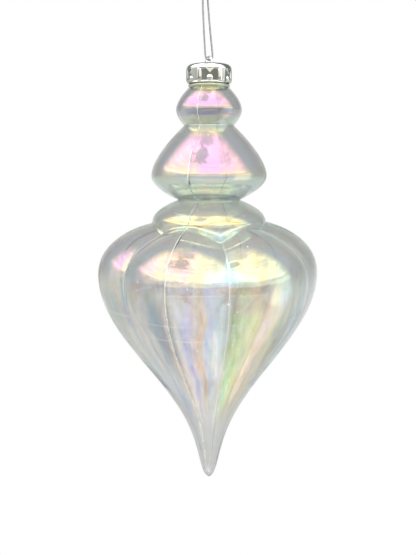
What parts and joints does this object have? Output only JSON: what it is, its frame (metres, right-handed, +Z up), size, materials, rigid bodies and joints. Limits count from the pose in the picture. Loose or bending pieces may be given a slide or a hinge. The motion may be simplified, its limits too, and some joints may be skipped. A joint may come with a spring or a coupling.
{
  "type": "finial hanging ornament",
  "caption": "Hollow clear iridescent finial ornament with stacked bulbs, a lobed teardrop body, a plated crown cap with an eyelet, and a thread loop to hang it by.",
  "frame": {"origin": "top of the thread loop, just under its knot, where a branch or hook holds it", "axes": "+Z up along the ornament's axis, from the tip to the cap; -Y is the front; +X is to the right of the front"},
  "size_m": [0.1092, 0.1076, 0.2914],
  "materials": {
    "silver_thread": "satin",
    "plated_cap": "polished",
    "iridescent_shell": "gloss"
  },
  "bodies": {
    "hanging_thread": {"thread_loop": "silver_thread", "thread_knot": "silver_thread"},
    "cap": {"crown_cap": "plated_cap"},
    "finial": {"neck_ring": "iridescent_shell", "shell_half_right": "iridescent_shell", "shell_half_left": "iridescent_shell"}
  },
  "joints": [
    {"name": "swing", "type": "hinge", "parent": "hanging_thread", "child": "cap", "pos_m": [0, 0, -0.072], "axis": [-0.8192, -0.5736, 0], "range_deg": [-90, 90]},
    {"name": "cap_pull", "type": "slide", "parent": "cap", "child": "finial", "axis": [0, 0, -1], "range_m": [0, 0.02]}
  ]
}
